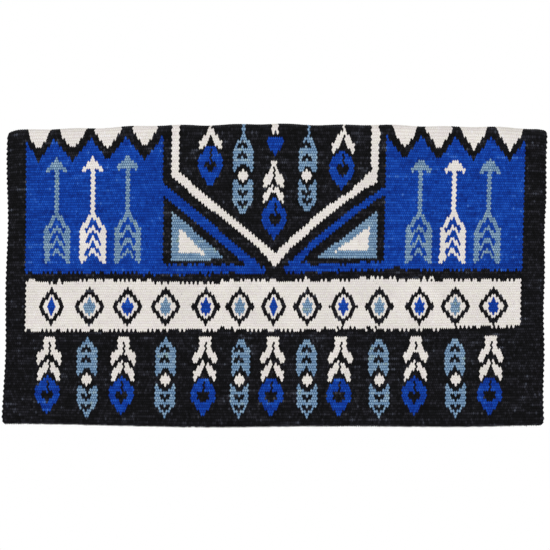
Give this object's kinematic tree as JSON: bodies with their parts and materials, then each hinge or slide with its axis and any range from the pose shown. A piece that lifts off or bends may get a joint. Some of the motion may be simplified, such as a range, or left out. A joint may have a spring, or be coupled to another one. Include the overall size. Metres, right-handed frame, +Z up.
{
  "type": "western saddle blanket",
  "caption": "Thick woven wool saddle blanket folded over a thin rail, both sides hanging, with inlaid colour fields; each side lifts from hanging to flat.",
  "frame": {"origin": "under the middle of the fold, where the rail bears, half way along the blanket's width", "axes": "+Z up, +X along the fold and the horse's spine, to the right in the picture; the pictured near side faces -Y and the far side +Y"},
  "size_m": [0.8636, 0.028, 0.4809],
  "materials": {
    "wool_black": "matt woven wool",
    "wool_royal_blue": "matt woven wool",
    "wool_cream": "matt woven wool",
    "wool_light_blue": "matt woven wool, heathered"
  },
  "bodies": {
    "ridge": {"ridge_strip": "wool_black", "near_fold_strip_1": "wool_black", "far_fold_strip_1": "wool_black"},
    "near_side": {"near_fold_strip_2": "wool_black", "near_black_ground": "wool_black", "near_centre_field": "wool_black", "near_chevron": "wool_cream", "near_diamond_band": "wool_cream", "near_left_royal_field": "wool_royal_blue", "near_right_royal_field": "wool_royal_blue", "near_left_triangle": "wool_light_blue", "near_right_triangle": "wool_light_blue", "near_left_arrow_1": "wool_light_blue", "near_left_arrow_2": "wool_cream", "near_left_arrow_3": "wool_light_blue", "near_right_arrow_1": "wool_light_blue", "near_right_arrow_2": "wool_cream", "near_right_arrow_3": "wool_light_blue", "near_diamond_01": "wool_royal_blue", "near_diamond_02": "wool_light_blue", "near_diamond_03": "wool_royal_blue", "near_diamond_04": "wool_light_blue", "near_diamond_05": "wool_royal_blue", "near_diamond_06": "wool_light_blue", "near_diamond_07": "wool_royal_blue", "near_diamond_08": "wool_light_blue", "near_diamond_09": "wool_royal_blue", "near_diamond_10": "wool_light_blue", "near_diamond_11": "wool_royal_blue", "near_diamond_12": "wool_light_blue", "near_diamond_13": "wool_royal_blue"},
    "far_side": {"far_fold_strip_2": "wool_black", "far_black_ground": "wool_black", "far_centre_field": "wool_black", "far_chevron": "wool_cream", "far_diamond_band": "wool_cream", "far_left_royal_field": "wool_royal_blue", "far_right_royal_field": "wool_royal_blue", "far_left_triangle": "wool_light_blue", "far_right_triangle": "wool_light_blue", "far_left_arrow_1": "wool_light_blue", "far_left_arrow_2": "wool_cream", "far_left_arrow_3": "wool_light_blue", "far_right_arrow_1": "wool_light_blue", "far_right_arrow_2": "wool_cream", "far_right_arrow_3": "wool_light_blue", "far_diamond_01": "wool_royal_blue", "far_diamond_02": "wool_light_blue", "far_diamond_03": "wool_royal_blue", "far_diamond_04": "wool_light_blue", "far_diamond_05": "wool_royal_blue", "far_diamond_06": "wool_light_blue", "far_diamond_07": "wool_royal_blue", "far_diamond_08": "wool_light_blue", "far_diamond_09": "wool_royal_blue", "far_diamond_10": "wool_light_blue", "far_diamond_11": "wool_royal_blue", "far_diamond_12": "wool_light_blue", "far_diamond_13": "wool_royal_blue"}
  },
  "joints": [
    {"name": "near_unfold", "type": "hinge", "parent": "ridge", "child": "near_side", "pos_m": [0, -0.01025, 0.00425], "axis": [-1, 0, 0], "range_deg": [0, 90]},
    {"name": "far_unfold", "type": "hinge", "parent": "ridge", "child": "far_side", "pos_m": [0, 0.01025, 0.00425], "axis": [1, 0, 0], "range_deg": [0, 90]}
  ]
}
